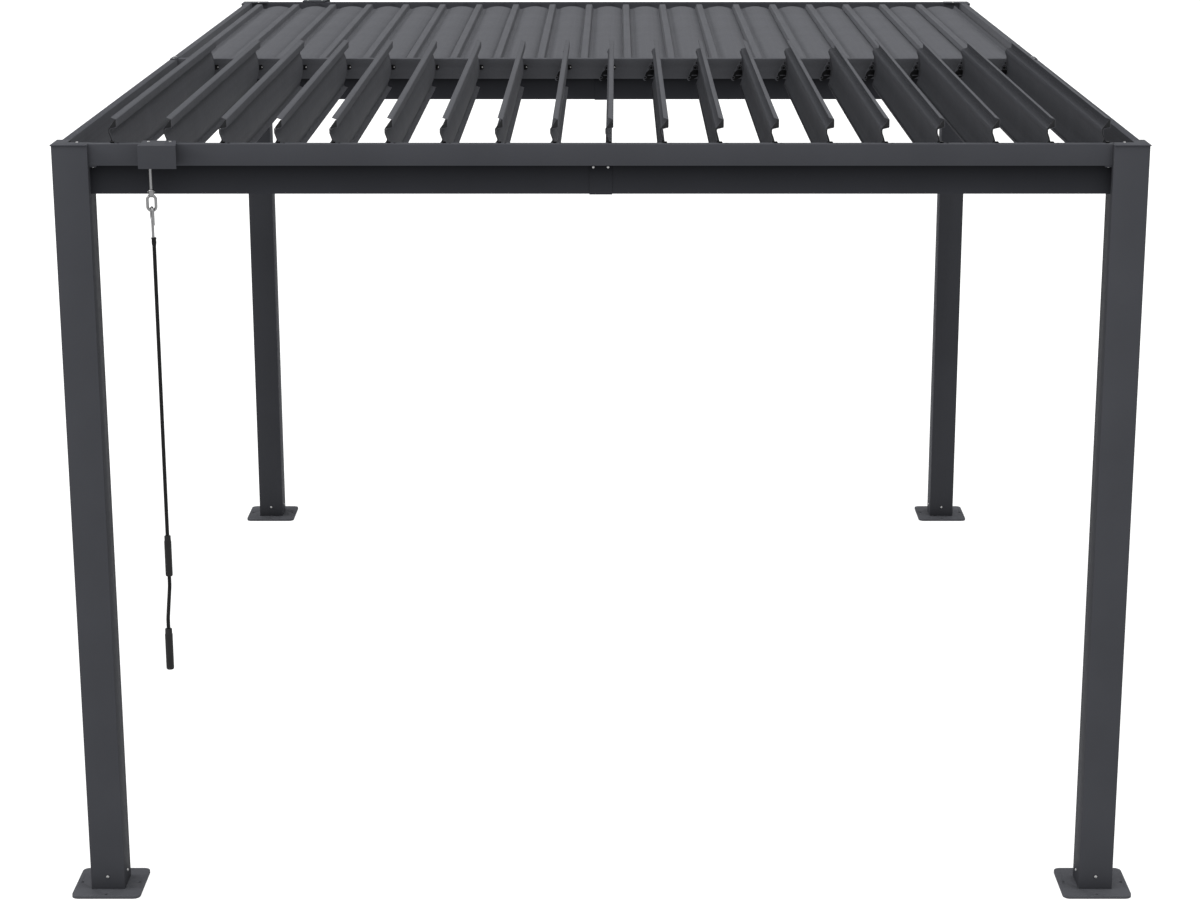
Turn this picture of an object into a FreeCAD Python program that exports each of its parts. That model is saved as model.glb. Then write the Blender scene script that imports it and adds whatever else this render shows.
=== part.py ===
# Louvered pergola: four posts, a beam frame and two rows of tilting roof louvres.
# Millimetres, +Z up. The origin is on the ground at the centre of the footprint.
# X runs along the width, Y along the depth, and the cranked side is at -Y.
import FreeCAD, Part
import math
import os

os.makedirs("parts", exist_ok=True)

V = FreeCAD.Vector

# Overall sizes
width = 3050.0
depth = 3965.0
height = 2246.0

# Posts, caps and base plates
post_side = 100.0
post_wall = 2.5
cap_thick = 3.0
cap_lip = 2.5
cap_overlap = 7.0
cap_joint = 0.3
plate_side = 204.0
plate_thick = 8.0
plate_corner = 20.0
plate_hole_r = 4.5
plate_hole_circle = 171.0

# Beams
beam_depth = 30.0
side_beam_depth = 23.5
mid_beam_depth = 37.5
beam_height = 142.0
beam_set_back = 12.5
beam_wall = 2.2
band_height = 60.0
mid_band_height = 69.0
lower_band_depth = 12.5
mid_lower_depth = 20.0
splice_width = 64.0
splice_sheet = 2.0
clip_width = 20.0
clip_height = 5.0
saddle_width = 70.0
saddle_sheet = 2.5

# Louvres, written for the closed position around the pivot
louvre_pitch = 154.0
louvre_sheet = 1.4
pivot_side_step = 12.0
pivot_drop = 29.5
row_margin = 10.0
end_gap = 13.5
mid_gap = 10.0
ridge_foot_x = -96.7
ridge_foot_z = 8.4
ridge_left = -91.9
ridge_right = -70.5
ridge_top = 22.1
valley_left = -66.0
valley_right = -54.0
valley_z = 3.0
arch_x = -1.5
arch_top = 14.0
arch_flats = 4
arch_end_x = 58.0
arch_end_z = 0.8
tail_x = 67.0
hook_tip = 16.5
hook_cut_back = 12.0

# End brackets, pivot pins and tie bars
bracket_thick = 3.0
bracket_drop = 9.0
ridge_fill_x = -91.0
ridge_fill_z = 19.0
fill_low_z = 0.6
neck_x = -35.0
neck_z = 7.5
nose_x = -25.0
arm_half = 6.6
pivot_pin_r = 4.0
tie_pin_r = 3.0
tie_pin_tip = 2.0
pin_clearance = 0.2
pin_reach = 5.0
tie_x = 39.6
tie_z = -22.5
tie_bar_thick = 3.0
tie_bar_height = 14.0
tie_bar_overhang = 10.0

# Gearboxes and crank
gearbox_width = 106.0
gearbox_side_step = -3.0
gearbox_front = 64.0
gearbox_height = 65.0
gearbox_wall = 3.0
gearbox_top = 6.0
driven_louvre = 2
eye_side_step = -25.5
eye_front_step = 31.0
eye_shaft_r = 4.0
eye_shaft_drop = 64.0
eye_shaft_in = 10.0
eye_collar_r = 8.6
eye_collar_height = 17.5
ring_wire_r = 4.0
ring_width = 31.5
ring_height = 44.5
ring_root = 6.0
shaft_clearance = 0.1
hook_bend_r = 12.0
hook_wire_r = 3.75
hook_leg = 30.0
hook_open_leg = 36.0
hook_near_leg = 14.0
hook_seat = 0.7
hook_turn = 21.0
rod_side_step = 1.5
wire_sides = 8
bend_steps = 5
shank_length = 134.0
sleeve_r = 7.0
sleeve_height = 25.0
rod_r = 5.4
rod_length = 845.0
upper_grip_length = 121.0
upper_grip_r = 10.4
grip_spacing = 143.0
lower_grip_length = 123.0
lower_grip_r = 11.2
crank_throw = 51.0
bend_straight = 30.0

# Derived positions
post_x = width / 2 - post_side / 2
post_y = depth / 2 - post_side / 2
beam_low = height - beam_height
pivot_z = height - pivot_drop
front_face = depth / 2 - beam_set_back
front_inner = front_face - beam_depth
side_face = width / 2 - beam_set_back
side_inner = side_face - side_beam_depth
louvre_outer = front_inner - end_gap
louvre_inner = mid_beam_depth / 2 + mid_gap
row_width = 2 * (side_inner - row_margin) + ridge_foot_x - tail_x
louvre_count = int(row_width / louvre_pitch) + 1
tie_gap = (end_gap - tie_bar_thick) / 2
wire_flat = math.cos(math.pi / wire_sides)
bend_flat = math.cos(math.pi / (2 * bend_steps))
gearbox_low = height + gearbox_top - gearbox_height
eye_shaft_z = gearbox_low - eye_shaft_drop
shank_end_z = eye_shaft_z - shank_length
sleeve_low = shank_end_z - sleeve_height
upper_grip_top = sleeve_low - rod_length
upper_grip_low = upper_grip_top - upper_grip_length
lower_grip_top = upper_grip_low - grip_spacing
lower_grip_low = lower_grip_top - lower_grip_length


def box(x0, y0, z0, x1, y1, z1):
    return Part.makeBox(x1 - x0, y1 - y0, z1 - z0, V(x0, y0, z0))


def turned(shape, degrees):
    """Turn about the vertical through the origin."""
    copy = shape.copy()
    copy.rotate(V(0, 0, 0), V(0, 0, 1), degrees)
    return copy


def mirrored(shape, normal):
    return shape.mirror(V(0, 0, 0), normal)


def moved(shape, x, y, z):
    copy = shape.copy()
    copy.translate(V(x, y, z))
    return copy


def four_corners(shape):
    """The same piece in all four corners, from the one at +X +Y."""
    right = [shape, mirrored(shape, V(0, 1, 0))]
    left = [mirrored(s, V(1, 0, 0)) for s in right]
    return right + left


def prism(points, x0, x1):
    """Extrude a closed (y, z) outline along X."""
    wire = Part.makePolygon([V(x0, y, z) for y, z in points + points[:1]])
    return Part.Face(wire).extrude(V(x1 - x0, 0, 0))


def save(name, shape):
    shape.exportStep("parts/" + name + ".step")


# Posts

def l_outline(inset, z):
    """An L around the outer corner of a post, its inner faces in line with those of the beams."""
    x1 = width / 2 - inset
    y1 = depth / 2 - inset
    x0 = width / 2 - post_side + inset
    y0 = depth / 2 - post_side + inset
    xi = side_inner + inset
    yi = front_inner + inset
    corners = [(x0, y1), (x1, y1), (x1, y0), (xi, y0), (xi, yi), (x0, yi)]
    wire = Part.makePolygon([V(x, y, z) for x, y in corners + corners[:1]])
    return Part.Face(wire)


def make_post():
    """A square tube whose top is cut back to an L, so the louvre corner passes inside it."""
    x0 = width / 2 - post_side
    y0 = depth / 2 - post_side
    top = height - cap_thick
    tube = box(x0, y0, plate_thick, width / 2, depth / 2, beam_low)
    tube = tube.cut(box(x0 + post_wall, y0 + post_wall, plate_thick,
                        width / 2 - post_wall, depth / 2 - post_wall, beam_low - post_wall))
    legs = l_outline(0, beam_low).extrude(V(0, 0, top - beam_low))
    hollow = l_outline(post_wall, beam_low - post_wall)
    hollow = hollow.extrude(V(0, 0, top - beam_low + post_wall))
    return tube.fuse(legs).cut(hollow).removeSplitter()


def make_base_plate():
    """A square plate with corners rounded in four short flats, and a bolt hole at each side."""
    middle = plate_side / 2 - plate_corner
    points = []
    for quarter in range(4):
        turn = math.radians(90 * quarter + 45)
        cx = middle * math.sqrt(2) * math.cos(turn)
        cy = middle * math.sqrt(2) * math.sin(turn)
        for k in range(5):
            a = math.radians(90 * quarter + 22.5 * k)
            points.append(V(cx + plate_corner * math.cos(a), cy + plate_corner * math.sin(a), 0))
    plate = Part.Face(Part.makePolygon(points + points[:1])).extrude(V(0, 0, plate_thick))
    for k in range(4):
        angle = math.radians(90 * k)
        x = plate_hole_circle / 2 * math.cos(angle)
        y = plate_hole_circle / 2 * math.sin(angle)
        plate = plate.cut(Part.makeCylinder(plate_hole_r, plate_thick, V(x, y, 0)))
    return moved(plate, post_x, post_y, 0)


def make_cap():
    """An L-shaped plate that closes the post top and stops short of the beam ends."""
    edge_x = width / 2 + cap_lip
    edge_y = depth / 2 + cap_lip
    start_x = width / 2 - post_side + cap_joint
    start_y = depth / 2 - post_side + cap_joint
    z = height - cap_thick
    along_x = box(start_x, front_inner - cap_overlap, z, edge_x, edge_y, height)
    along_y = box(side_inner, start_y, z, edge_x, edge_y, height)
    return along_x.fuse(along_y).removeSplitter()


# Beams

def edge_beam(inner, face, length, pockets):
    """A hollow beam along X with its outer face at +Y: a deep upper band over a set-back lower one."""
    low_face = inner + lower_band_depth
    band_low = height - band_height
    outline = [(inner, beam_low), (low_face, beam_low), (low_face, band_low),
               (face, band_low), (face, height), (inner, height)]
    w = beam_wall
    beam = prism(outline, -length / 2, length / 2)
    beam = beam.cut(box(-length / 2, inner + w, band_low + w, length / 2, face - w, height - w))
    beam = beam.cut(box(-length / 2, inner + w, beam_low + w, length / 2, low_face - w, band_low))
    if pockets:
        beam = beam.cut(pivot_pockets(inner, inner + w))
    return beam


def pivot_pockets(y0, y1):
    """Square bearing pockets, one for each louvre pivot."""
    half = pivot_pin_r + pin_clearance
    pockets = []
    for n in range(1, louvre_count + 1):
        x = pivot_x(n)
        pockets.append(box(x - half, y0, pivot_z - half, x + half, y1, pivot_z + half))
    return Part.makeCompound(pockets)


def make_mid_beam():
    half = mid_beam_depth / 2
    low_half = mid_lower_depth / 2
    band_low = height - mid_band_height
    outline = [(-low_half, beam_low), (low_half, beam_low), (low_half, band_low), (half, band_low),
               (half, height), (-half, height), (-half, band_low), (-low_half, band_low)]
    x = side_inner
    w = beam_wall
    beam = prism(outline, -x, x)
    beam = beam.cut(box(-x, w - half, band_low + w, x, half - w, height - w))
    beam = beam.cut(box(-x, w - low_half, beam_low + w, x, low_half - w, band_low))
    return beam.cut(pivot_pockets(-half, half))


def edge_splice():
    """A folded sleeve over the middle of the lower band."""
    low_face = front_inner + lower_band_depth
    half = splice_width / 2
    top = height - band_height
    face = box(-half, low_face, beam_low, half, low_face + splice_sheet, top)
    sole = box(-half, front_inner, beam_low - splice_sheet, half, low_face + splice_sheet, beam_low)
    return face.fuse(sole).removeSplitter()


def mid_splice():
    half = splice_width / 2
    low_half = mid_lower_depth / 2
    reach = low_half + splice_sheet
    sleeve = box(-half, -reach, beam_low - splice_sheet, half, reach, height - mid_band_height)
    return sleeve.cut(box(-half, -low_half, beam_low, half, low_half, height - mid_band_height))


def edge_clip():
    """A small block under the upper band where a front or back beam meets its post."""
    x1 = width / 2 - post_side
    low_face = front_inner + lower_band_depth
    top = height - band_height
    return box(x1 - clip_width, low_face, top - clip_height, x1, front_face - splice_sheet, top)


def side_saddle():
    """A plate on a side beam over the end of the mid beam."""
    half = saddle_width / 2
    return box(side_inner, -half, height, side_face, half, height + saddle_sheet)


# Louvres

def pivot_x(n):
    """Pivot position of louvre n, counted from the left."""
    return (n - (louvre_count + 1) / 2) * louvre_pitch + pivot_side_step


def arch_points():
    """Points of the arch from the valley to the tail, on the circle through its three named points."""
    arch = Part.Arc(V(valley_right, 0, valley_z), V(arch_x, 0, arch_top), V(arch_end_x, 0, arch_end_z))
    return [(p.x, p.z) for p in arch.toShape().discretize(arch_flats + 1)]


def louvre_profile():
    """The bent sheet: ridge, drop to the valley, arch in flats, and a tail hooked up under the next ridge."""
    ridge = [(ridge_foot_x, ridge_foot_z), (ridge_left, ridge_top), (ridge_right, ridge_top)]
    tail = [(tail_x, arch_end_z), (tail_x, hook_tip)]
    line = ridge + [(valley_left, valley_z)] + arch_points() + tail
    return Part.makePolygon([V(x, 0, z) for x, z in line])


def pin(x, z, r, y0, y1):
    """A hexagonal pin along Y, which keeps the many pins light."""
    points = [V(x + r * math.cos(math.radians(60 * k)), y0,
                z + r * math.sin(math.radians(60 * k))) for k in range(6)]
    return Part.Face(Part.makePolygon(points + points[:1])).extrude(V(0, y1 - y0, 0))


def covered_arch():
    """The part of the sheet's middle line that the end pieces are joined to, from right to left."""
    lift = louvre_sheet / 2
    return [(x, z + lift) for x, z in reversed(arch_points()[:arch_flats])]


def plate(points, y0):
    outline = [V(x, y0, z) for x, z in points + points[:1]]
    return Part.Face(Part.makePolygon(outline)).extrude(V(0, bracket_thick, 0))


def outer_bracket():
    """An end plate that fills the ridge, follows the arch down to the pivot and has an arm to the tie pin."""
    lift = louvre_sheet / 2
    ridge = [(valley_left - lift, valley_z + lift), (ridge_right - lift, ridge_top + lift),
             (ridge_fill_x, ridge_top + lift), (ridge_fill_x, ridge_fill_z)]
    neck = [(valley_left, fill_low_z), (valley_right, fill_low_z), (neck_x, neck_z), (nose_x, 0)]
    arm = [(-bracket_drop, -bracket_drop), (tie_x - arm_half, tie_z - 0.7 * arm_half),
           (tie_x + 0.3 * arm_half, tie_z - arm_half), (tie_x + arm_half, tie_z),
           (tie_x + 0.6 * arm_half, tie_z + arm_half)]
    return plate(covered_arch() + ridge + neck + arm, louvre_outer - bracket_thick)


def inner_tab():
    """A small plate under the arch that carries the inner pivot pin."""
    foot = [(-bracket_drop, -bracket_drop), (bracket_drop, -bracket_drop)]
    return plate(covered_arch()[:-1] + foot, louvre_inner)


def hook_cuts():
    """Room at both ends of the tail hook for the next louvre's end plate."""
    cuts = []
    for y in (louvre_inner, louvre_outer - hook_cut_back):
        cuts.append(box(arch_end_x, y, arch_end_z - louvre_sheet,
                        tail_x + louvre_sheet, y + hook_cut_back, hook_tip + louvre_sheet))
    return Part.makeCompound(cuts)


def make_louvre():
    """One closed louvre of the back row around its pivot, with its outer end at the back beam."""
    length = louvre_outer - louvre_inner
    sheet = louvre_profile().makeOffset2D(louvre_sheet, 2, True, True, False)
    blade = moved(sheet, 0, louvre_inner, 0).extrude(V(0, length, 0)).cut(hook_cuts())
    outer_pin = pin(0, 0, pivot_pin_r, louvre_outer, front_inner + pin_reach)
    inner_pin = pin(0, 0, pivot_pin_r, mid_beam_depth / 2 - pin_reach, louvre_inner)
    tie_pin = pin(tie_x, tie_z, tie_pin_r, louvre_outer, louvre_outer + tie_gap + tie_bar_thick + tie_pin_tip)
    return blade.multiFuse([outer_bracket(), inner_tab(), outer_pin, inner_pin, tie_pin]).removeSplitter()


def opened(shape):
    """Turn a closed louvre a quarter turn, ridge side up."""
    copy = shape.copy()
    copy.rotate(V(0, 0, 0), V(0, 1, 0), 90)
    return copy


def tie_bar(pin_x, pin_z, y0):
    """A flat bar with a pocket for each tie pin."""
    z = pivot_z + pin_z
    first = pivot_x(1) + pin_x
    last = pivot_x(louvre_count) + pin_x
    half = tie_pin_r + pin_clearance
    bar = box(first - tie_bar_overhang, y0, z - tie_bar_height / 2,
              last + tie_bar_overhang, y0 + tie_bar_thick, z + tie_bar_height / 2)
    holes = []
    for n in range(1, louvre_count + 1):
        x = pivot_x(n) + pin_x
        holes.append(box(x - half, y0, z - half, x + half, y0 + tie_bar_thick, z + half))
    return bar.cut(Part.makeCompound(holes))


# Gearboxes and crank

def gearbox_x():
    return pivot_x(driven_louvre) + gearbox_side_step


def eye_x():
    return gearbox_x() + eye_side_step


def crank_x():
    """The rod hangs a little beside the middle of the ring."""
    return eye_x() + rod_side_step


def make_front_gearbox():
    """A cast housing on the beam face, with a plate that wraps over the beam top."""
    half = gearbox_width / 2
    low = gearbox_low
    body = box(-half, -front_face - gearbox_front, low, half, -front_face, height + gearbox_top)
    w = gearbox_wall
    body = body.cut(box(w - half, w - front_face - gearbox_front, low + w,
                        half - w, -front_face, height + gearbox_top - w))
    wrap = box(-half, -front_face - w, height, half, -front_inner, height + gearbox_top)
    body = body.fuse(wrap)
    bore = Part.makeCylinder(eye_shaft_r + shaft_clearance, w,
                             V(eye_side_step, -front_face - eye_front_step, low))
    return moved(body.cut(bore).removeSplitter(), gearbox_x(), 0, 0)


def bend(cx, cz, r, first, last):
    """Points of a bend as (across, up) pairs, in even steps between two angles in degrees."""
    points = []
    for k in range(bend_steps + 1):
        a = math.radians(first + (last - first) * k / bend_steps)
        points.append((cx + r * math.cos(a), cz + r * math.sin(a)))
    return points


def wire_along(points, r):
    """A round wire as a many-sided section with mitred corners."""
    tangent = points[1] - points[0]
    tangent.normalize()
    side = tangent.cross(V(0.1, 1, 0))
    side.normalize()
    up = tangent.cross(side)
    section = []
    for k in range(wire_sides):
        a = 2 * math.pi * (k + 0.5) / wire_sides
        section.append(points[0] + side * (r * math.cos(a)) + up * (r * math.sin(a)))
    outline = Part.makePolygon(section + section[:1])
    wire = Part.makePolygon(points).makePipeShell([outline], True, False, 1)
    if wire.Volume < 0:
        wire.reverse()
    return wire


def make_front_eye():
    """The worm shaft's lower end: collar and oval ring for the crank hook."""
    collar_low = eye_shaft_z - eye_collar_height
    shaft = Part.makeCylinder(eye_shaft_r, eye_shaft_drop + gearbox_wall + eye_shaft_in, V(0, 0, eye_shaft_z))
    collar = Part.makeCylinder(eye_collar_r, eye_collar_height, V(0, 0, collar_low))
    half = ring_width / 2 - ring_wire_r
    top = collar_low - ring_wire_r - half + ring_root
    foot = ring_low_z() + half * bend_flat
    middle = (top + foot) / 2
    upper = bend(0, top, half, 0, 180)
    lower = bend(0, foot, half, 180, 360)
    loop = [(half, middle)] + upper + lower + [(half, middle)]
    ring = wire_along([V(x, 0, z) for x, z in loop], ring_wire_r)
    return moved(shaft.multiFuse([collar, ring]), eye_x(), -front_face - eye_front_step, 0)


def ring_low_z():
    """Centre of the ring's lowest wire, which the hook hangs on."""
    return eye_shaft_z - eye_collar_height - ring_height + ring_wire_r


def make_hook():
    """An open hook over the ring's wire, with its shank down to the black sleeve."""
    r = hook_bend_r
    z = ring_low_z() + ring_wire_r + hook_seat + hook_wire_r * wire_flat - r * bend_flat
    shank = [(r, z - hook_near_leg), (0, z - hook_leg), (0, shank_end_z)]
    line = [(-r, z - hook_open_leg)] + bend(0, z, r, 180, 0) + shank
    hook = turned(wire_along([V(0, y, up) for y, up in line], hook_wire_r), hook_turn)
    return moved(hook, eye_x(), -front_face - eye_front_step, 0)


def make_crank_rod():
    """Sleeve, long rod, and the bent part between the two grips."""
    sleeve = Part.makeCylinder(sleeve_r, sleeve_height, V(0, 0, sleeve_low))
    rod = Part.makeCylinder(rod_r, rod_length, V(0, 0, upper_grip_top))
    line = [V(0, 0, upper_grip_low), V(0, 0, upper_grip_low - bend_straight),
            V(0, -crank_throw, lower_grip_top + bend_straight), V(0, -crank_throw, lower_grip_top)]
    bars = Part.makeCompound([sleeve.fuse(rod), wire_along(line, rod_r)])
    return moved(bars, crank_x(), -front_face - eye_front_step, 0)


def make_grips():
    """Two grips for the hands, one on the line of the rod and one on the throw."""
    upper = Part.makeCylinder(upper_grip_r, upper_grip_length, V(0, 0, upper_grip_low))
    lower = Part.makeCylinder(lower_grip_r, lower_grip_length, V(0, -crank_throw, lower_grip_low))
    return moved(Part.makeCompound([upper, lower]), crank_x(), -front_face - eye_front_step, 0)


def build_frame():
    names = ["post_back_right", "post_front_right", "post_back_left", "post_front_left"]
    for name, post in zip(names, four_corners(make_post())):
        save(name, post)
    save("base_plates", Part.makeCompound(four_corners(make_base_plate())))
    save("post_caps", Part.makeCompound(four_corners(make_cap())))
    back = edge_beam(front_inner, front_face, width - 2 * post_side, True)
    save("back_beam", back)
    save("front_beam", mirrored(back, V(0, 1, 0)))
    left = turned(edge_beam(side_inner, side_face, depth - 2 * post_side, False), 90)
    save("left_beam", left)
    save("right_beam", mirrored(left, V(1, 0, 0)))
    save("mid_beam", make_mid_beam())
    back_splice = edge_splice()
    save("splice_sleeves", Part.makeCompound([back_splice, mirrored(back_splice, V(0, 1, 0)), mid_splice()]))
    saddle = side_saddle()
    brackets = four_corners(edge_clip()) + [saddle, mirrored(saddle, V(1, 0, 0))]
    save("beam_brackets", Part.makeCompound(brackets))
    front_box = make_front_gearbox()
    save("gearboxes", Part.makeCompound([front_box, mirrored(front_box, V(0, 1, 0))]))


def build_louvres():
    closed = make_louvre()
    front = opened(mirrored(closed, V(0, 1, 0)))
    for n in range(1, louvre_count + 1):
        x = pivot_x(n)
        save("back_louvre_%02d" % n, moved(closed, x, 0, pivot_z))
        save("front_louvre_%02d" % n, moved(front, x, 0, pivot_z))
    save("back_tie_bar", tie_bar(tie_x, tie_z, louvre_outer + tie_gap))
    save("front_tie_bar", tie_bar(tie_z, -tie_x, -louvre_outer - tie_gap - tie_bar_thick))


def build_crank():
    eye = make_front_eye()
    save("front_crank_eye", eye)
    save("back_crank_eye", mirrored(eye, V(0, 1, 0)))
    save("crank_hook", make_hook())
    save("crank_rod", make_crank_rod())
    save("crank_grips", make_grips())


build_frame()
build_louvres()
build_crank()
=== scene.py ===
import math
import bmesh
import bpy
from mathutils import Matrix, Vector


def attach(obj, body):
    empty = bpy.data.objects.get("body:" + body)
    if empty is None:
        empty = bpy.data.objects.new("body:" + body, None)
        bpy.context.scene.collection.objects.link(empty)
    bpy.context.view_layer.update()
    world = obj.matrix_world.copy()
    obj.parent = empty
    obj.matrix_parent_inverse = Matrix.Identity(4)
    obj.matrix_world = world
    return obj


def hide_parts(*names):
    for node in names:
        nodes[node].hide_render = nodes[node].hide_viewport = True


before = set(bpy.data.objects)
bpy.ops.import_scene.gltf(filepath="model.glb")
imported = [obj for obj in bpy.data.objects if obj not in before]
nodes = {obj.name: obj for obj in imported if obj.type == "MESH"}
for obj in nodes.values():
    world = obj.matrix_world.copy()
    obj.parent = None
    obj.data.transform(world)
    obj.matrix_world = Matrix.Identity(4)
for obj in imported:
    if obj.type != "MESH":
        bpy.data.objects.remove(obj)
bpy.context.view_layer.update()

# Sizes in millimetres, the same as those of the solids
HEIGHT = 2246.0
PIVOT_Z = 2216.5
PITCH = 154.0
LOUVRES = 19
ROW_SHIFT = 12.0
FRONT_INNER = 1940.0
BEAM_LOW = 2104.0
MID_BAND_LOW = 2177.0
BAND_LOW = 2186.0
LOUVRE_OUTER = 1926.5
LOUVRE_INNER = 28.75
SHEET = 1.4
BRACKET = 3.0
TIE_X = 39.6
TIE_Z = -22.5
TIE_GAP = 5.25
MID_FACE = 18.75
POST_X = 1475.0
POST_Y = 1932.5
POST_HALF = 50.0
CRANK_X = -1248.5
GEARBOX_X = -1223.0
GEARBOX_FACE = -2034.0
ROD_X = CRANK_X + 1.5
CRANK_Y = -2001.0
RING_LOW = 2065.0
UPPER_GRIP = (998, 1119)
LOWER_GRIP = (732, 855)
GRIP_THROW = 51.0


def pivot_x(n):
    """Across the width; the middle louvre's pivot stands a little to the right."""
    return (n - (LOUVRES + 1) / 2) * PITCH + ROW_SHIFT


# Meshes, in millimetres unless they come from a CAD node; angles in degrees

FLAT = 1
SHARP = 28


def piece(name, verts, faces, body, slot, smooth=30):
    """A mesh in millimetres that rides on a body, smooth except across sharp edges."""
    mesh = bpy.data.meshes.new(name)
    mesh.from_pydata([Vector(v) / 1000 for v in verts], [], faces)
    bm = bmesh.new()
    bm.from_mesh(mesh)
    bmesh.ops.recalc_face_normals(bm, faces=bm.faces)
    sharpen(bm, smooth)
    bm.to_mesh(mesh)
    bm.free()
    return place(name, mesh, body)


def place(name, mesh, body, spot=(0, 0, 0)):
    """An object that rides on a body."""
    obj = bpy.data.objects.new(name, mesh)
    obj.location = Vector(spot) / 1000
    bpy.context.scene.collection.objects.link(obj)
    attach(obj, body)
    return obj


def sharpen(bm, smooth):
    """Smooth shading, with a crease at each edge beyond the angle."""
    limit = math.radians(smooth)
    for face in bm.faces:
        face.smooth = True
    for edge in bm.edges:
        edge.smooth = len(edge.link_faces) == 2 and edge.calc_face_angle(0) < limit


def bevel_mesh(mesh, width, segments, smooth=35):
    """Round the sharp edges of a mesh by a width in millimetres."""
    bm = bmesh.new()
    bm.from_mesh(mesh)
    bmesh.ops.remove_doubles(bm, verts=bm.verts, dist=2e-6)
    bmesh.ops.dissolve_limit(bm, angle_limit=math.radians(FLAT), verts=bm.verts, edges=bm.edges)
    sharp = [e for e in bm.edges
             if len(e.link_faces) == 2 and e.calc_face_angle(0) > math.radians(SHARP)]
    bmesh.ops.bevel(bm, geom=sharp, offset=width / 1000, segments=segments, profile=0.5,
                    affect="EDGES", clamp_overlap=True)
    bmesh.ops.recalc_face_normals(bm, faces=bm.faces)
    sharpen(bm, smooth)
    bm.to_mesh(mesh)
    bm.free()


def rounded_copy(node, body, width, segments=2):
    """A piece with the node's shape and softly rounded edges."""
    mesh = nodes[node].data.copy()
    mesh.name = node + "_look"
    mesh.materials.clear()
    bevel_mesh(mesh, width, segments)
    obj = place(node + "_look", mesh, body)
    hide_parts(node)
    return obj


def rounded_line(corners, step=10):
    """A polyline with an arc at each corner that has a radius, given as (a, b, radius)."""
    line = [Vector(corners[0][:2])]
    for before, here, after in zip(corners, corners[1:], corners[2:]):
        p = Vector(here[:2])
        if not here[2]:
            line.append(p)
            continue
        d1 = (p - Vector(before[:2])).normalized()
        d2 = (Vector(after[:2]) - p).normalized()
        angle = math.atan2(d1.x * d2.y - d1.y * d2.x, d1.dot(d2))
        start = p - d1 * here[2] * math.tan(abs(angle) / 2)
        side = Vector((-d1.y, d1.x)) * math.copysign(1, angle)
        centre = start + side * here[2]
        steps = max(2, math.ceil(math.degrees(abs(angle)) / step))
        r = start - centre
        for k in range(steps + 1):
            a = angle * k / steps
            line.append(centre + Vector((r.x * math.cos(a) - r.y * math.sin(a),
                                         r.x * math.sin(a) + r.y * math.cos(a))))
    line.append(Vector(corners[-1][:2]))
    return line


def rounded_outline(corners, step=15):
    """A closed outline with its corners rounded."""
    looped = [corners[-1]] + corners + [corners[0]]
    return rounded_line(looped, step)[1:-1]


def offset_line(line, distance):
    """The same line shifted to its left."""
    shifted = []
    for k, p in enumerate(line):
        d1 = (p - line[k - 1]).normalized() if k else (line[1] - p).normalized()
        d2 = (line[k + 1] - p).normalized() if k < len(line) - 1 else d1
        mean = (d1 + d2).normalized()
        normal = Vector((-mean.y, mean.x))
        shifted.append(p + normal * distance / max(0.3, mean.dot(d1)))
    return shifted


def prism_y(outline, y0, y1):
    """Points and faces of an (x, z) outline extruded along Y."""
    n = len(outline)
    verts = [(p[0], y0, p[1]) for p in outline] + [(p[0], y1, p[1]) for p in outline]
    faces = [[k, (k + 1) % n, (k + 1) % n + n, k + n] for k in range(n)]
    return verts, faces + [list(range(n)), list(range(n, 2 * n))]


def tube(rings, segments, capped=True):
    """Faces between rings of points, and one at each end."""
    faces = []
    for k in range(rings - 1):
        for s in range(segments):
            t = (s + 1) % segments
            a = k * segments
            b = a + segments
            faces.append([a + s, a + t, b + t, b + s])
    if capped:
        last = (rings - 1) * segments
        faces += [list(range(segments))[::-1], list(range(last, last + segments))]
    return faces


def lathe(profile, segments=24, hexed=()):
    """Points and faces of (radius, height) pairs turned about Z; hexed rings follow a hexagon."""
    verts = []
    for k, (r, z) in enumerate(profile):
        for s in range(segments):
            a = 2 * math.pi * s / segments
            reach = r
            if k in hexed:
                part = (a + math.pi / 6) % (math.pi / 3) - math.pi / 6
                reach = r / math.cos(part)
            verts.append((reach * math.cos(a), reach * math.sin(a), z))
    return verts, tube(len(profile), segments)


def sweep(path, radius, segments=16, capped=True):
    """Points and faces of a round wire along a path."""
    verts = []
    side = None
    for k, p in enumerate(path):
        before = path[max(k - 1, 0)]
        after = path[min(k + 1, len(path) - 1)]
        tangent = (after - before).normalized()
        if side is None:
            side = tangent.orthogonal().normalized()
        side = (side - tangent * side.dot(tangent)).normalized()
        up = tangent.cross(side)
        for s in range(segments):
            a = 2 * math.pi * s / segments
            verts.append(p + side * math.cos(a) * radius + up * math.sin(a) * radius)
    return verts, tube(len(path), segments, capped)


def moved(shape, matrix):
    """The same points and faces, moved by a matrix in millimetres."""
    verts, faces = shape
    return [matrix @ Vector(v) for v in verts], faces


def at(x, y, z):
    return Matrix.Translation((x, y, z))


def turn(degrees, axis):
    return Matrix.Rotation(math.radians(degrees), 4, axis)


def joined(shapes):
    """Several shapes as one."""
    verts = []
    faces = []
    for v, f in shapes:
        start = len(verts)
        verts += list(v)
        faces += [[i + start for i in face] for face in f]
    return verts, faces


def mirrored_y(shape):
    verts, faces = shape
    return [(v[0], -v[1], v[2]) for v in verts], faces


def both_ends(shape):
    """The shape and its mirror image across the middle of the depth."""
    return joined([shape, mirrored_y(shape)])


def both_sides(shape):
    """The shape and its mirror image across the middle of the width."""
    verts, faces = shape
    return joined([shape, ([(-v[0], v[1], v[2]) for v in verts], faces)])


def each_pivot(shape):
    """The shape at the pivot of every louvre of a row."""
    return joined([moved(shape, at(pivot_x(n), 0, PIVOT_Z)) for n in range(1, LOUVRES + 1)])


# Louvres, closed and around the pivot

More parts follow.
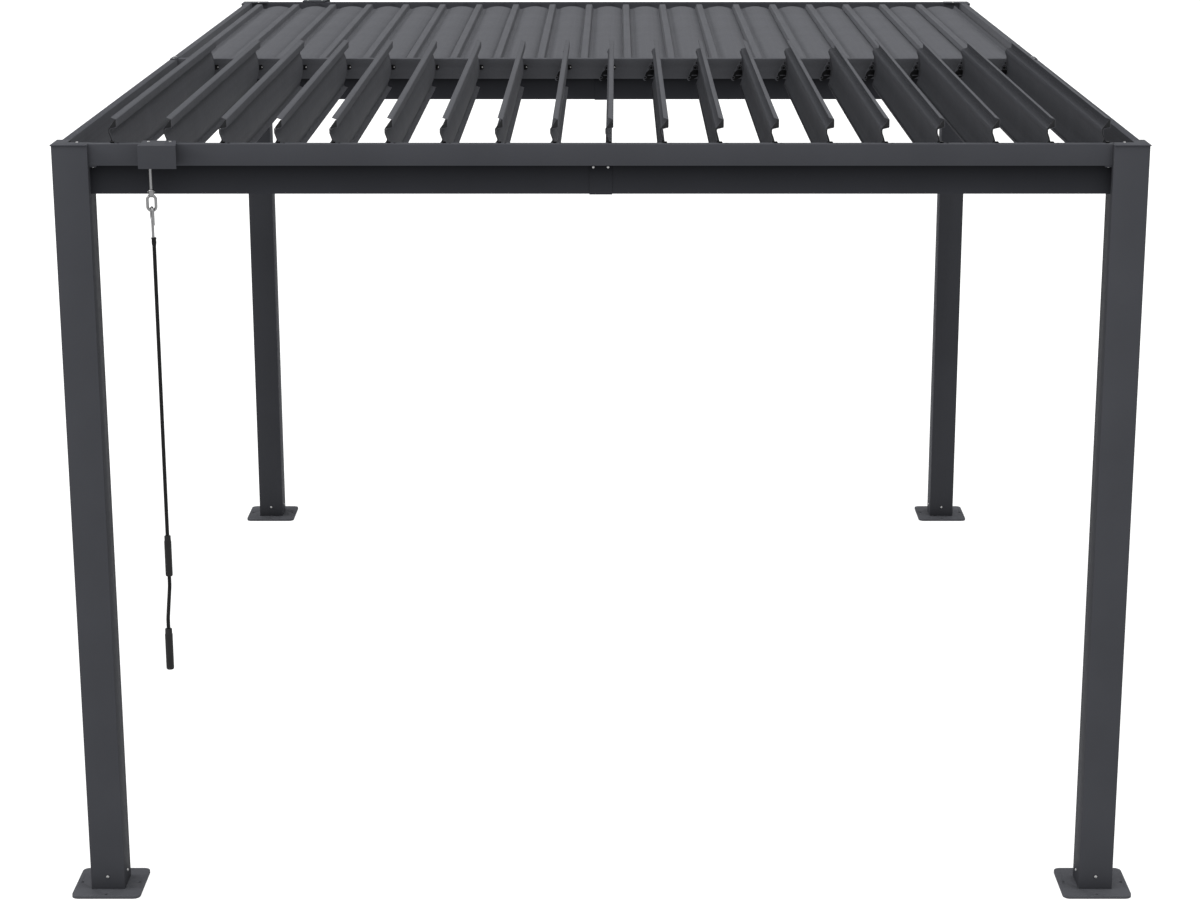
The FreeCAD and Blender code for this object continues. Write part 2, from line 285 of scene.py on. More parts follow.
ARCH = Vector((-54, 3)), Vector((-1.5, 14)), Vector((58, 0.8))
HOOK_START = 58.5
HOOK_CUT = 12.0


def arch_points(count):
    """The arch from the valley to the tail, on one circle."""
    a, b, c = ARCH
    d = 2 * (a.x * (b.y - c.y) + b.x * (c.y - a.y) + c.x * (a.y - b.y))
    ux = (a.dot(a) * (b.y - c.y) + b.dot(b) * (c.y - a.y) + c.dot(c) * (a.y - b.y)) / d
    uy = (a.dot(a) * (c.x - b.x) + b.dot(b) * (a.x - c.x) + c.dot(c) * (b.x - a.x)) / d
    centre = Vector((ux, uy))
    r = (a - centre).length
    first = math.atan2(a.y - uy, a.x - ux)
    last = math.atan2(c.y - uy, c.x - ux)
    angles = [first + (last - first) * k / count for k in range(count + 1)]
    return [centre + Vector((math.cos(t), math.sin(t))) * r for t in angles]


def blade_line():
    """The inside of the sheet's section, from the ridge's edge over the arch to the hook."""
    ridge = [(-96.7, 8.4, 0), (-91.9, 22.1, 1.8), (-70.5, 22.1, 1.8), (-66, 3, 5), (-54, 3, 9)]
    arch = [(p.x, p.y, 0) for p in arch_points(22)[2:-1]]
    return rounded_line(ridge + arch + [(57, 1, 14), (62.5, 3, 9), (67.5, 18, 0)])


def blade():
    """The bent sheet in cells along its section and its length, without the hook at both ends."""
    inner = blade_line()
    outer = offset_line(inner, SHEET)
    stations = [LOUVRE_INNER, LOUVRE_INNER + HOOK_CUT, LOUVRE_OUTER - HOOK_CUT, LOUVRE_OUTER]
    bays = len(stations) - 1
    hook = next(k for k, p in enumerate(inner) if p.x > HOOK_START)
    count = len(inner)
    verts = []
    for y in stations:
        verts += [(p.x, y, p.y) for p in inner]
        verts += [(p.x, y, p.y) for p in outer]

    def there(cell, bay):
        return 0 <= cell < count - 1 and 0 <= bay < bays and (bay == 1 or cell < hook)

    faces = []
    for bay in range(bays):
        a = bay * 2 * count
        b = a + 2 * count
        for k in range(count - 1):
            if not there(k, bay):
                continue
            faces.append([a + k, a + k + 1, b + k + 1, b + k])
            faces.append([a + count + k, b + count + k, b + count + k + 1, a + count + k + 1])
            if not there(k - 1, bay):
                faces.append([a + k, b + k, b + count + k, a + count + k])
            if not there(k + 1, bay):
                faces.append([a + k + 1, a + count + k + 1, b + count + k + 1, b + k + 1])
            if not there(k, bay - 1):
                faces.append([a + k, a + count + k, a + count + k + 1, a + k + 1])
            if not there(k, bay + 1):
                faces.append([b + k, b + k + 1, b + count + k + 1, b + count + k])
    return verts, faces


def bracket_outline(lift, ridged):
    """The end plate: it follows the arch to the pivot and reaches down to the tie pin."""
    arch = [(p.x, p.y + lift, 0) for p in reversed(arch_points(16)[:13])]
    if ridged:
        ridge = [(-66.7, 3.7, 2.5), (-71.2, 22.6, 1.4), (-91, 22.6, 1.6), (-91, 19, 0),
                 (-66, 0.6, 2)]
    else:
        ridge = [(-60, 3.7, 1), (-60, 0.6, 2)]
    neck = [(-54, 0.6, 4), (-35, 7.5, 6), (-25, 0, 6)]
    arm = [(-9, -9, 6), (TIE_X - 6.6, TIE_Z - 4.6, 2), (TIE_X + 2, TIE_Z - 6.6, 5),
           (TIE_X + 6.6, TIE_Z, 5), (TIE_X + 4, TIE_Z + 6.6, 3)]
    return rounded_outline(arch + ridge + neck + arm)


def brackets():
    """Both end plates with bosses, the outer one's rib, and the inner one's web, bar and rings."""
    outer_back = LOUVRE_OUTER - BRACKET
    inner_back = LOUVRE_INNER - 0.1

    def raised(corners, y0, y1):
        return prism_y(rounded_outline(corners), y0, y1)

    outer = prism_y(bracket_outline(SHEET / 2, True), outer_back, LOUVRE_OUTER - 0.15)
    inner = prism_y(bracket_outline(SHEET + 1.5, False), LOUVRE_INNER - 1.5, inner_back)
    rib = raised([(-6, -3, 2), (TIE_X - 3, TIE_Z - 1, 2), (TIE_X + 1, TIE_Z + 3, 2), (2, 5, 2)],
                 outer_back - 2.5, outer_back)
    web = raised([(8, 10, 2), (30, 8, 2), (44.5, -15, 2), (43, -21, 3), (38, -26, 3),
                  (16, -17.5, 3), (6, -6, 3)], inner_back, LOUVRE_INNER + 0.7)
    bar = raised([(24.5, 7, 1), (27.5, 7, 1), (27.5, -13, 1), (24.5, -13, 1)],
                 inner_back, LOUVRE_INNER + 1.6)
    rings = [moved(lathe([(r, 0), (r, 1.7), (r - 1.6, 1.7), (r - 1.6, 0.9)], 24),
                   at(x, inner_back, z) @ turn(-90, "X"))
             for x, z, r in ((0, 0, 7), (-17, 3.7, 4.5), (TIE_X - 6, TIE_Z + 1, 5))]
    boss = lathe([(9, 0), (9, 1.4), (8.4, 2), (5, 2)], 32)
    return joined([outer, inner, rib, web, bar, *rings,
                   moved(boss, at(0, LOUVRE_OUTER, 0) @ turn(-90, "X")),
                   moved(boss, at(0, LOUVRE_INNER, 0) @ turn(90, "X"))])


def pins():
    """Round pivot and tie pins with chamfered ends, and a washer on the tie pin."""
    pivot_r, tie_r, chamfer = 4, 3, 0.5
    mid_end = 13.75
    bar_outer = LOUVRE_OUTER + TIE_GAP + BRACKET

    def pin(x, z, r, y0, y1):
        long = y1 - y0
        end = r - chamfer
        shape = lathe([(end, 0), (r, chamfer), (r, long - chamfer), (end, long)], 20)
        return moved(shape, at(x, y0, z) @ turn(-90, "X"))

    washer = moved(lathe([(3, 0), (5.2, 0), (5.4, 0.2), (5.4, 0.7), (5.2, 0.9), (3, 0.9)], 24),
                   at(TIE_X, bar_outer, TIE_Z) @ turn(-90, "X"))
    return joined([pin(0, 0, pivot_r, LOUVRE_OUTER, FRONT_INNER + 4),
                   pin(0, 0, pivot_r, mid_end, LOUVRE_INNER),
                   pin(TIE_X, TIE_Z, tie_r, LOUVRE_OUTER, bar_outer + 2), washer])


def front_row(shape):
    """A louvre of the back row mirrored to the front row and turned open."""
    verts, faces = shape
    return [(v[2], -v[1], -v[0]) for v in verts], faces


def make_louvres():
    """Louvres that share one mesh a row for each kind of piece; the first of each is given back."""
    kinds = [("blade", blade(), "louvre_coat", 28, 0.0),
             ("brackets", brackets(), "black_plastic", 30, 0.4),
             ("pins", pins(), "stainless", 30, 0.0)]
    firsts = {}
    for row in ("front", "back"):
        for kind, shape, slot, smooth, bevel in kinds:
            if row == "front":
                shape = front_row(shape)
            for n in range(1, LOUVRES + 1):
                name = "%s_louvre_%02d" % (row, n)
                spot = (pivot_x(n), 0, PIVOT_Z)
                if n == 1:
                    obj = piece(name + "_" + kind, *shape, name, slot, smooth)
                    obj.location = Vector(spot) / 1000
                    if bevel:
                        bevel_mesh(obj.data, bevel, 2)
                    firsts[row, kind] = obj
                else:
                    obj = place(name + "_" + kind, firsts[row, kind].data, name, spot)
                if kind == "blade":
                    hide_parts(name)
    return firsts


# Screws

def button_screw(r, height, socket):
    """A domed screw head with a hexagon socket."""
    profile = [(r, 0), (r, height * 0.35), (r * 0.93, height * 0.7), (r * 0.76, height * 0.94),
               (socket + 0.6, height), (socket + 0.1, height),
               (socket, height - 0.3), (socket, height * 0.3)]
    return lathe(profile, 24, hexed=(5, 6, 7))


def pan_screw(r, height):
    """A low domed head with a small hexagonal recess."""
    profile = [(r, 0), (r, height * 0.4), (r * 0.9, height * 0.75), (r * 0.6, height * 0.97),
               (r * 0.34, height), (r * 0.28, height * 0.55)]
    return lathe(profile, 20, hexed=(5,))


def make_screws():
    """Screw heads, each built at one place and mirrored to the others."""
    head = button_screw(4.8, 2.8, 2.1)
    small = pan_screw(3.6, 2.4)
    numbers = range(1, LOUVRES + 1)
    # Low on the four sides of a post, and on its cap
    post_z = 47.9
    post = [moved(head, at(POST_X + dx, -POST_Y + dy, post_z) @ turn(degrees, axis))
            for dx, dy, degrees, axis in ((0, -POST_HALF, 90, "X"), (0, POST_HALF, -90, "X"),
                                          (-POST_HALF, 0, -90, "Y"), (POST_HALF, 0, 90, "Y"))]
    cap = moved(button_screw(4, 2.6, 1.6), at(1460.4, -1938, HEIGHT))
    # On the gearbox's wrap over the beam, and on the splice sleeve
    box_x, box_y, wrap = (-1256.3, -1196.3), -1963, 6
    box = [moved(pan_screw(4.2, 2.4), at(x, box_y, HEIGHT + wrap)) for x in box_x]
    splice_x, splice_y, splice_z = (-20.6, 20.6), -FRONT_INNER - 14.5, 2179.8
    splice = [moved(small, at(x, splice_y, splice_z) @ turn(90, "X")) for x in splice_x]
    # On each bearing's tab at the middle beam, and beside each bearing on top of the front beam
    mid = [moved(pan_screw(2.9, 2.2), at(pivot_x(n) + 25.6, -MID_FACE, 2217.7) @ turn(90, "X"))
           for n in numbers]
    bearing = [moved(pan_screw(3.4, 1.2), at(pivot_x(n) + 30, -1949, HEIGHT)) for n in numbers]
    # Under the clips in the corners, and on the saddles at the middle beam's ends
    clip = moved(small, at(1415, -1958, 2181) @ turn(180, "X"))
    saddle = [moved(small, at(1500.7, y, HEIGHT + 2.5)) for y in (-24, 24)]
    for name, shape in (("post", both_ends(both_sides(joined(post)))),
                        ("cap", both_ends(both_sides(cap))),
                        ("gearbox", both_ends(joined(box))),
                        ("splice", both_ends(joined(splice))),
                        ("mid_beam", both_ends(joined(mid))),
                        ("clip", both_ends(both_sides(clip))),
                        ("saddle", both_sides(joined(saddle)))):
        dress(piece(name + "_screws", *shape, "frame", "stainless"), screw_steel)
    dress(piece("bearing_screws", *joined(bearing), "frame", "black_plastic"), black_plastic)


def make_bearings():
    """Moulded bearings at the pivots; those at the front beam have a lip over its top edge."""
    deep = 3
    boss = moved(lathe([(8, 0), (8, 1.6), (7.4, 2.2), (4.4, 2.2)], 28),
                 at(0, -FRONT_INNER + deep, 0) @ turn(-90, "X"))

    def plate(top):
        corners = [(-10, -10, 9.5), (10, -10, 9.5), (10, 6, 5), (19, 14, 4), (19, top, 1.5),
                   (9, top, 1.5), (5, 14, 4), (-10, 6, 6)]
        return prism_y(rounded_outline(corners), -FRONT_INNER, -FRONT_INNER + deep)

    over = [(9, 29.6, 0.1), (19, 29.6, 0.1), (19, 33, 1.4), (9, 33, 1.4)]
    lip = prism_y(rounded_outline(over, 30), -FRONT_INNER - 8, -FRONT_INNER)
    front = joined([plate(33), lip, boss])
    back = mirrored_y(joined([plate(26), boss]))
    outer = piece("outer_bearings", *each_pivot(joined([front, back])), "frame", "black_plastic")
    ring = moved(lathe([(9, 0), (9, 2), (8.4, 2.6), (4.4, 2.6)], 28),
                 at(0, -MID_FACE, 0) @ turn(90, "X"))
    tab = prism_y(rounded_outline([(-9, -9, 8.5), (30, -7, 6), (30, 9, 6), (-9, 9, 8.5)]),
                  -MID_FACE - 1.6, -MID_FACE)
    row = each_pivot(joined([ring, tab]))
    inner = piece("inner_bearings", *both_ends(row), "frame", "black_plastic")
    dress(inner, black_plastic)
    dress(outer, black_plastic)
    # Painted highlight: the bearings at the back beam wear the grey frame coat in place of black,
    # for the light caught on their tops
    second_coat(outer, frame_coat, at_the_back)


def make_tie_bars():
    """Flat bars with round ends, beyond the outer end plates of both rows."""
    half, past, thick = 7, 10, 3
    r = 6.9
    for row, x, z, y0 in (("back", TIE_X, TIE_Z, LOUVRE_OUTER + TIE_GAP),
                          ("front", TIE_Z, -TIE_X, -LOUVRE_OUTER - TIE_GAP - thick)):
        x0 = pivot_x(1) + x - past
        x1 = pivot_x(LOUVRES) + x + past
        low = PIVOT_Z + z - half
        high = PIVOT_Z + z + half
        outline = rounded_outline([(x0, low, r), (x1, low, r), (x1, high, r), (x0, high, r)])
        bar = piece(row + "_tie_bar_look", *prism_y(outline, y0, y0 + thick), row + "_tie_bar",
                    "tie_bar_coat")
        bevel_mesh(bar.data, 0.5, 2)
        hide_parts(row + "_tie_bar")
        dress(bar, tie_coat)


# Eyes and crank

def make_eyes():
    """The worm shaft's end with its collar, cross pin and welded ring."""
    shaft = lathe([(3.2, 2199), (4, 2198), (4, 2124), (3.4, 2120)], 24)
    collar = lathe([(4, 2124.5), (6.8, 2124), (7.8, 2122.4), (7.8, 2110), (7.2, 2107.4),
                    (5, 2105.6)], 28)
    cross = moved(lathe([(1.2, -10.6), (1.6, -10.2), (1.6, 10.2), (1.2, 10.6)], 16),
                  at(0, 0, 2118) @ turn(90, "Y"))
    weld = lathe([(4.5, 2103), (6.6, 2105.5), (6.8, 2107.5), (5, 2108.5)], 24)
    wire, half = 4, 11.75
    low = RING_LOW + half
    top = 2105.5 - wire - half + 6
    path = []
    steps = 48
    for k in range(steps + 1):
        a = math.radians(-90 + 360 * k / steps)
        zc = top if steps / 4 <= k <= steps * 3 / 4 else low
        path.append(Vector((half * math.cos(a), 0, zc + half * math.sin(a))))
    ring = sweep(path, wire, capped=False)
    shape = moved(joined([shaft, collar, cross, ring, weld]), at(CRANK_X, CRANK_Y, 0))
    for row, row_shape in (("front", shape), ("back", mirrored_y(shape))):
        eye = piece(row + "_eye_look", *row_shape, row + "_crank_eye", "stainless")
        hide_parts(row + "_crank_eye")
        dress(eye, stainless)


def grip(r, low, high):
    """A fluted grip with a plain collar at its upper end and rounded rims."""
    count, flutes, depth = 96, 12, 0.28
    bore = 5.1
    rings = [(bore, high), (r - 2.2, high), (r - 1.2, high - 1), (r - 1.1, high - 15),
             (r - 0.2, high - 16.5), (r, high - 18), (r, low + 6), (r - 0.1, low + 4.5),
             (r - 0.5, low + 1.2), (r - 1.8, low), (bore, low)]
    fluted = (5, 6)
    verts = []
    for k, (radius, h) in enumerate(rings):
        for s in range(count):
            a = 2 * math.pi * s / count
            reach = radius - (depth * (1 + math.cos(flutes * a)) if k in fluted else 0)
            verts.append((reach * math.cos(a), reach * math.sin(a), h))
    return verts, tube(len(rings), count, capped=False)


def make_crank():
    """The hook on the eye, the rod with its sleeve and bend, and the two grips."""
    hook_r, wire = 12.0, 3.75
    z = RING_LOW + 4.8 + wire - hook_r
    bend = [Vector((0, hook_r * math.cos(math.radians(180 - 10 * k)),
                    z + hook_r * math.sin(math.radians(180 - 10 * k)))) for k in range(19)]
    open_leg = [Vector((0, -hook_r, z - drop)) for drop in (36, 34, 6)]
    shank = [Vector((0, y, z - drop))
             for y, drop in ((hook_r, 8), (hook_r - 0.6, 14), (hook_r - 4.4, 20),
                             (3, 26), (0.8, 31), (0, 37))]
    shank.append(Vector((0, 0, 1987)))
    hook = moved(sweep(open_leg + bend + shank, wire, 20), at(CRANK_X, CRANK_Y, 0) @ turn(21, "Z"))
    obj = piece("hook_look", *hook, "crank", "stainless", 50)
    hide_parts("crank_hook")
    dress(obj, stainless)

    rod_r = 5.4
    sleeve = lathe([(3.6, 1989.2), (6.8, 1989.2), (7.4, 1988.4), (7.4, 1985.6), (6.6, 1984.2),
                    (6.4, 1981), (6.9, 1976), (6.6, 1972), (5.6, 1967), (5.1, 1963)], 32)
    straight = [Vector((0, 0, height)) for height in (1966, 1400, 1118)]
    swing = rounded_line([(0, 999, 0), (0, 968, 34), (-GRIP_THROW, 885, 34),
                          (-GRIP_THROW, 854, 0)], 6)
    bent = [Vector((0, p.x, p.y)) for p in swing]
    rod = moved(joined([sleeve, sweep(straight, rod_r, 24), sweep(bent, rod_r, 24)]),
                at(ROD_X, CRANK_Y, 0))
    obj = piece("rod_look", *rod, "crank", "black_coat", 50)
    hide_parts("crank_rod")
    dress(obj, black_coat)

    plug = lathe([(5.1, 733), (5.1, 731.2), (4, 730)], 24)
    shape = joined([grip(10.4, *UPPER_GRIP),
                    moved(grip(11.2, *LOWER_GRIP), at(0, -GRIP_THROW, 0)),
                    moved(plug, at(0, -GRIP_THROW, 2))])
    obj = piece("grips_look", *moved(shape, at(ROD_X, CRANK_Y, 0)), "crank", "black_plastic", 50)
    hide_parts("crank_grips")
    dress(obj, grip_plastic)


# Materials; noise scales are per metre

CLOUD_SCALE = 5
MOTTLE_SCALE = 30
SHEEN_SCALE = 60
PEEL_SCALE = 1400


def material(name):
    """A new material, its nodes and links, and its shader."""
    m = bpy.data.materials.new(name)
    m.use_nodes = True
    return m, m.node_tree.nodes, m.node_tree.links, m.node_tree.nodes["Principled BSDF"]


def texture(tn, links, scale, detail, stretch=(1, 1, 1)):
    """A noise in object space, stretched by a mapping."""
    where = tn.new("ShaderNodeTexCoord")
    mapping = tn.new("ShaderNodeMapping")
    mapping.inputs["Scale"].default_value = stretch
    noise = tn.new("ShaderNodeTexNoise")
    noise.inputs["Scale"].default_value = scale
    noise.inputs["Detail"].default_value = detail
    links.new(where.outputs["Object"], mapping.inputs["Vector"])
    links.new(mapping.outputs["Vector"], noise.inputs["Vector"])
    return noise


def ramp(tn, links, source, stops):
    """A colour ramp; its stops are colours or greys."""
    node = tn.new("ShaderNodeValToRGB")
    while len(node.color_ramp.elements) < len(stops):
        node.color_ramp.elements.new(0.5)
    for element, (position, value) in zip(node.color_ramp.elements, stops):
        element.position = position
        element.color = (*value, 1) if isinstance(value, tuple) else (value, value, value, 1)
    links.new(source, node.inputs["Fac"])
    return node


def multiplied(tn, links, colour, factor):
    """A colour darkened by a factor, both given as sockets."""
    mix = tn.new("ShaderNodeMix")
    mix.data_type = "RGBA"
    mix.blend_type = "MULTIPLY"
    mix.inputs["Factor"].default_value = 1
    links.new(colour, mix.inputs["A"])
    links.new(factor, mix.inputs["B"])
    return mix.outputs["Result"]


def bumped(tn, links, shader, height, strength, distance=0.0002):
    """Give a shader a bump from a height socket; the distance is in metres."""
    bump = tn.new("ShaderNodeBump")
    bump.inputs["Strength"].default_value = strength
    bump.inputs["Distance"].default_value = distance
    links.new(height, bump.inputs["Height"])
    links.new(bump.outputs["Normal"], shader.inputs["Normal"])


def powder_coat(name, colour, spread, rough, streaks=None, dark=None, gloss=0.005):
    """Matt textured coat: a fine orange-peel bump, soft colour clouds and an uneven sheen; dark
    adds painted shade over the height.
    """
    m, tn, links, shader = material(name)
    clouds = texture(tn, links, CLOUD_SCALE, 3)
    low = tuple(c * (1 - spread) for c in colour)
    high = tuple(c * (1 + spread) for c in colour)
    result = ramp(tn, links, clouds.outputs["Fac"], [(0.3, low), (0.7, high)]).outputs["Color"]
    if streaks:
        lines = texture(tn, links, 1, 4, streaks)
        shade = ramp(tn, links, lines.outputs["Fac"], [(0.35, 0.93), (0.65, 1.0)])
        result = multiplied(tn, links, result, shade.outputs["Color"])
    # Painted shade: a ramp over the height darkens the colour
    if dark:
        result = painted_shade_ramp(tn, links, result, *dark)
    links.new(result, shader.inputs["Base Color"])
    sheen = texture(tn, links, SHEEN_SCALE, 4)
    uneven = ramp(tn, links, sheen.outputs["Fac"], [(0.3, rough - 0.05), (0.7, rough + 0.05)])
    links.new(uneven.outputs["Color"], shader.inputs["Roughness"])
    peel = texture(tn, links, PEEL_SCALE, 2)
    bumped(tn, links, shader, peel.outputs["Fac"], 0.15)
    shader.inputs["Specular IOR Level"].default_value = gloss
    return m


def painted_shade_ramp(tn, links, source, edge, low, at_edge, at_low):
    """Multiply the colour by a ramp over the height: painted shade on a recessed band that gets
    less light, darkest just under its edge and lighter towards its bottom.
    """
    where = tn.new("ShaderNodeTexCoord")
    split = tn.new("ShaderNodeSeparateXYZ")
    span = tn.new("ShaderNodeMapRange")
    span.inputs["From Min"].default_value = low / 1000
    span.inputs["From Max"].default_value = (edge + 1) / 1000
    links.new(where.outputs["Object"], split.inputs["Vector"])
    links.new(split.outputs["Z"], span.inputs["Value"])
    near = (edge - low) / (edge + 1 - low)
    stops = [(0, at_low), (near, at_edge), (near + 0.0005, 1.0)]
    fade = ramp(tn, links, span.outputs["Result"], stops)
    return multiplied(tn, links, source, fade.outputs["Color"])


def steel(name, colour, rough, stretch, edge=0.3):
    """Stainless steel with fine drawn lines."""
    m, tn, links, shader = material(name)
    lines = texture(tn, links, 1, 3, stretch)
    tone = ramp(tn, links, lines.outputs["Fac"],
                [(0.3, tuple(c * 0.85 for c in colour)), (0.7, colour)])
    uneven = ramp(tn, links, lines.outputs["Fac"], [(0.3, rough - 0.05), (0.7, rough + 0.08)])
    links.new(tone.outputs["Color"], shader.inputs["Base Color"])
    links.new(uneven.outputs["Color"], shader.inputs["Roughness"])
    bumped(tn, links, shader, lines.outputs["Fac"], 0.15, 0.0001)
    shader.inputs["Specular Tint"].default_value = (edge, edge, edge, 1)
    shader.inputs["Metallic"].default_value = 1
    return m


def moulded(name, colour, rough, grain, strength, gloss):
    """Plastic or enamel with a fine grain and slight colour change."""
    m, tn, links, shader = material(name)
    clouds = texture(tn, links, MOTTLE_SCALE, 3)
    tone = ramp(tn, links, clouds.outputs["Fac"],
                [(0.3, tuple(c * 0.85 for c in colour)), (0.7, tuple(c * 1.15 for c in colour))])
    uneven = ramp(tn, links, clouds.outputs["Fac"], [(0.3, rough - 0.05), (0.7, rough + 0.05)])
    fine = texture(tn, links, grain, 2)
    links.new(tone.outputs["Color"], shader.inputs["Base Color"])
    links.new(uneven.outputs["Color"], shader.inputs["Roughness"])
    bumped(tn, links, shader, fine.outputs["Fac"], strength)
    shader.inputs["Specular IOR Level"].default_value = gloss
    return m


def dress(obj, m):
    """Give a mesh one material in place of any it has."""
    obj.data.materials.clear()
    obj.data.materials.append(m)


def second_coat(obj, m, chosen):
    """Give the faces that the rule picks by centre and normal one more material."""
    obj.data.materials.append(m)
    for face in obj.data.polygons:
        if chosen(face.center, face.normal):
            face.material_index = len(obj.data.materials) - 1


# Rules for second coats, by a face's centre and normal in metres

def inner_side(centre, normal):
    """The side of a post that faces the middle of the width."""
    return centre.x * normal.x < 0 and abs(normal.x) > 0.5


def inward(centre, normal):
    """The side of a beam that faces the louvres."""
    return centre.x * normal.x < 0 and abs(normal.x) > 0.9


def box_side(centre, normal):
    """The narrow sides of a gearbox."""
    return abs(normal.x) > 0.9


def lower_band(centre, normal):
    """The recessed lower band of the outer beams, seen from outside."""
    return centre.z * 1000 < BAND_LOW + 0.5 and centre.x * normal.x + centre.y * normal.y > 0


def mid_band(centre, normal):
    """The upper band of the middle beam."""
    return centre.z * 1000 > MID_BAND_LOW and abs(normal.y) > 0.9


def below_mid_band(centre, normal):
    return centre.z * 1000 < MID_BAND_LOW + 0.5


def hollow_front(centre, normal):
    """The hollow side of a blade in the front row, which stands open."""
    return normal.x < -0.2


def hollow_back(centre, normal):
    """The hollow side of a blade in the back row, which is closed."""
    return normal.z < -0.2


def not_raised(centre, normal):
    """End plates, apart from what is raised on the inner one's inner side."""
    return not -0.06 < abs(centre.y) * 1000 - LOUVRE_INNER < 1


def outer_end(centre, normal):
    """The end plate at the outer beam, a metre or more from the middle beam."""
    return abs(centre.y) > 1


def at_the_back(centre, normal):
    return centre.y > 0


# Camera, solved from the edges of the posts, beams and base plates

cam_data = bpy.data.cameras.new("camera")
cam_data.sensor_width = 36.0
cam_data.lens = 79.158
cam_data.shift_x = -0.01325
cam_data.shift_y = -0.01639
cam_data.clip_end = 200
cam = bpy.data.objects.new("camera", cam_data)
cam.location = (0.0424, -9.2540, 3.3641)
cam.rotation_euler = (math.radians(90 - 14.914), 0, 0)
bpy.context.scene.collection.objects.link(cam)
bpy.context.scene.camera = cam

# Coats

frame_coat = powder_coat("frame_coat", (0.0424, 0.0437, 0.0494), 0.04, 0.5)
# Painted shade: a darker copy of the frame coat for recessed and shaded faces, with a ramp of
# painted shade down the lower band
painted_deep_shade = powder_coat("painted_deep_shade", (0.0171, 0.0178, 0.0205), 0.04, 0.6,
                          dark=(BAND_LOW, BEAM_LOW, 0.6, 1.4))
# Painted shade: a darker copy of the frame coat for the posts' shaded sides
painted_post_shade = powder_coat("painted_post_shade", (0.0322, 0.0332, 0.0375), 0.04, 0.5)
plate_coat = powder_coat("plate_coat", (0.0530, 0.0543, 0.0602), 0.04, 0.5)
# Lighter than the frame coat; on the beams' inner faces and the middle beam's upper band it is
# painted light
louvre_coat = powder_coat("louvre_coat", (0.0600, 0.0614, 0.0676), 0.05, 0.75,
                          streaks=(160, 1.2, 160), gloss=0.02)
# Painted shade: a darker copy of the louvre coat for the blades' hollow side
painted_hollow_shade = powder_coat("painted_hollow_side_shade", (0.0410, 0.0422, 0.0470), 0.05, 0.75,
                          streaks=(160, 1.2, 160))
tie_coat = powder_coat("tie_bar_coat", (0.1, 0.1, 0.105), 0.08, 0.4, streaks=(1.5, 200, 200))
stainless = steel("stainless", (0.24, 0.24, 0.243), 0.35, (500, 500, 30))
screw_steel = steel("screw_steel", (0.42, 0.42, 0.42), 0.3, (900, 900, 900))
black_coat = moulded("black_coat", (0.007, 0.007, 0.0073), 0.4, 700, 0.08, 0.08)
black_plastic = moulded("black_plastic", (0.005, 0.005, 0.0054), 0.5, 1800, 0.2, 0.05)
end_plastic = moulded("end_plastic", (0.0165, 0.0168, 0.0182), 0.55, 1400, 0.2, 0.08)
grip_plastic = moulded("grip_plastic", (0.012, 0.012, 0.0124), 0.5, 1200, 0.3, 0.12)

# Frame pieces with softly rounded edges

# Painted shade: the front posts' inner sides and the back posts, apart from their inner sides, wear
# a darker copy of the frame coat
for name in ("post_front_left", "post_front_right", "post_back_left", "post_back_right"):
    post = rounded_copy(name, "frame", 1.2)
    front = "front" in name
    dress(post, frame_coat if front else painted_post_shade)
    second_coat(post, painted_post_shade if front else frame_coat, inner_side)
# The splice sleeves wear the darker copy with its ramp: painted shade
for name, m in (("base_plates", plate_coat), ("post_caps", frame_coat),
                ("splice_sleeves", painted_deep_shade), ("beam_brackets", frame_coat)):
    dress(rounded_copy(name, "frame", 0.6), m)

# The gearboxes' right side narrows towards the beam
TAPER, TAPER_DEPTH, TAPER_FROM = 12, 50, 40
boxes = rounded_copy("gearboxes", "frame", 2.6, 4)
for v in boxes.data.vertices:
    if v.co.x > (GEARBOX_X + TAPER_FROM) / 1000:
        back = (-GEARBOX_FACE - abs(v.co.y) * 1000) / TAPER_DEPTH
        v.co.x -= TAPER / 1000 * min(max(back, 0), 1)
dress(boxes, frame_coat)
# Painted shade: the narrow sides wear the darker copy of the frame coat
second_coat(boxes, painted_deep_shade, box_side)

for name in ("front_beam", "back_beam", "left_beam", "right_beam"):
    beam = rounded_copy(name, "frame", 0.8)
    dress(beam, frame_coat)
    # Painted shade on the lower band, painted light on the faces towards the louvres
    second_coat(beam, painted_deep_shade, lower_band)
    second_coat(beam, louvre_coat, inward)
beam = rounded_copy("mid_beam", "frame", 0.8)
dress(beam, frame_coat)
# Painted light on the upper band, painted shade below it
second_coat(beam, louvre_coat, mid_band)
second_coat(beam, painted_deep_shade, below_mid_band)

# Louvres, fittings and crank

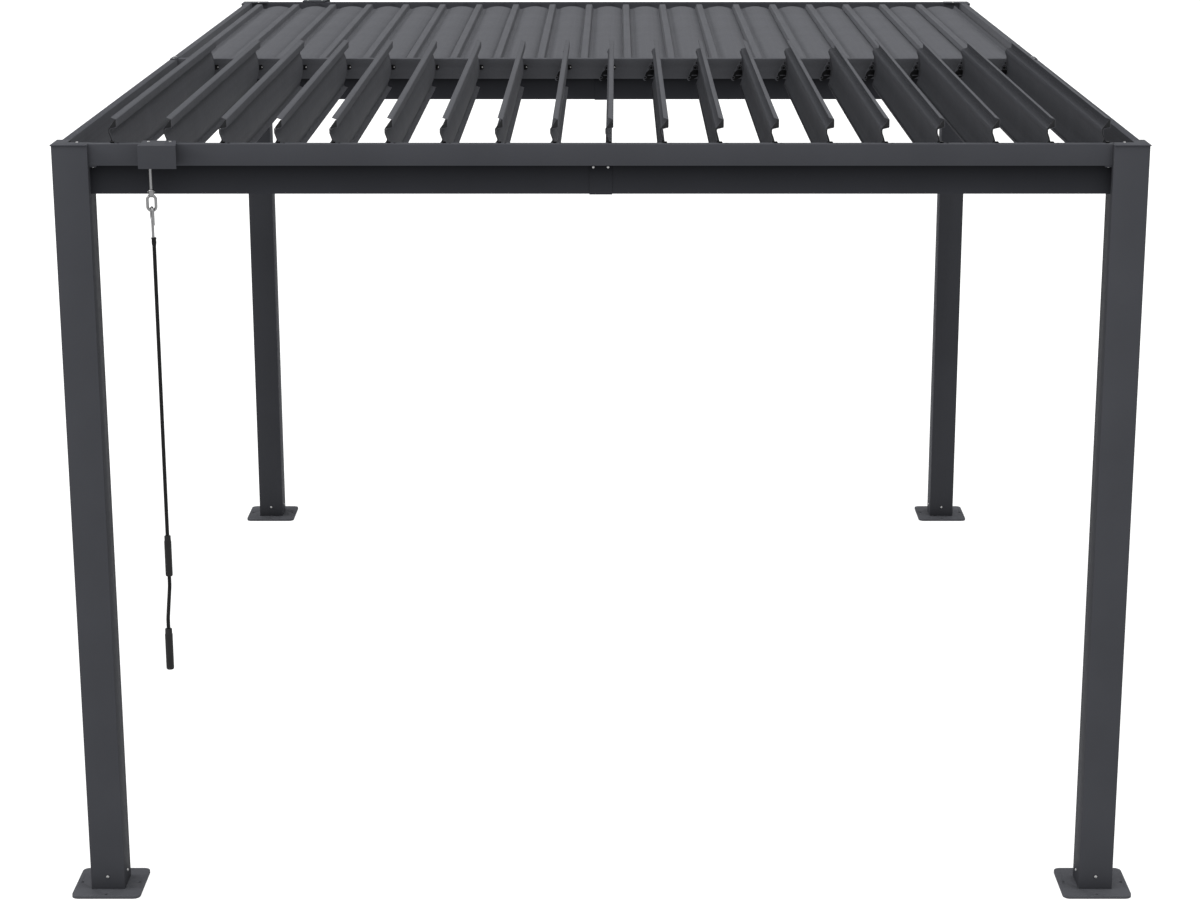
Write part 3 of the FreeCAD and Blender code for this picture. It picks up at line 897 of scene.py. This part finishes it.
coats = {"blade": louvre_coat, "brackets": black_plastic, "pins": stainless}
for (row, kind), obj in make_louvres().items():
    dress(obj, coats[kind])
    if kind == "blade":
        # Painted shade: the hollow side wears a darker copy of the louvre coat
        second_coat(obj, painted_hollow_shade, hollow_front if row == "front" else hollow_back)
    if kind == "brackets":
        second_coat(obj, louvre_coat, not_raised)
        second_coat(obj, end_plastic, outer_end)
make_bearings()
make_tie_bars()
make_screws()
make_eyes()
make_crank()
for node in nodes.values():
    dress(node, frame_coat)

# Studio

FLOOR_SIZE = 60
FLOOR_DROP = 0.0005
bpy.ops.mesh.primitive_plane_add(size=FLOOR_SIZE, location=(0, 0, -FLOOR_DROP))
floor = bpy.context.object
floor.name = "floor"
floor_mat, tn, links, shader = material("floor")
cloud = texture(tn, links, 0.4, 2)
pale = ramp(tn, links, cloud.outputs["Fac"], [(0.3, 0.155), (0.7, 0.165)])
links.new(pale.outputs["Color"], shader.inputs["Base Color"])
shader.inputs["Roughness"].default_value = 0.95
shader.inputs["Specular IOR Level"].default_value = 0.1
shader.inputs["Emission Color"].default_value = (1, 1, 1, 1)
shader.inputs["Emission Strength"].default_value = 0.92
dress(floor, floor_mat)

world = bpy.data.worlds.new("studio")
world.use_nodes = True
world.node_tree.nodes["Background"].inputs[0].default_value = (1, 1, 1, 1)
world.node_tree.nodes["Background"].inputs[1].default_value = 1.0
bpy.context.scene.world = world
bpy.context.scene.view_settings.view_transform = "Standard"


def soft_sun(name, direction, strength, spread):
    """A wide soft light from far away, shining from the given direction."""
    data = bpy.data.lights.new(name, "SUN")
    data.energy = strength
    data.angle = math.radians(spread)
    obj = bpy.data.objects.new(name, data)
    obj.rotation_euler = Vector(direction).to_track_quat("Z", "Y").to_euler()
    bpy.context.scene.collection.objects.link(obj)


RIGHT_HEIGHT = math.radians(41)
soft_sun("top", (0, -0.1, 1), 2.7, 80)
soft_sun("right", (math.cos(RIGHT_HEIGHT), 0, math.sin(RIGHT_HEIGHT)), 0.5, 60)
soft_sun("left", (-0.875, 0, 0.485), 1.6, 16)
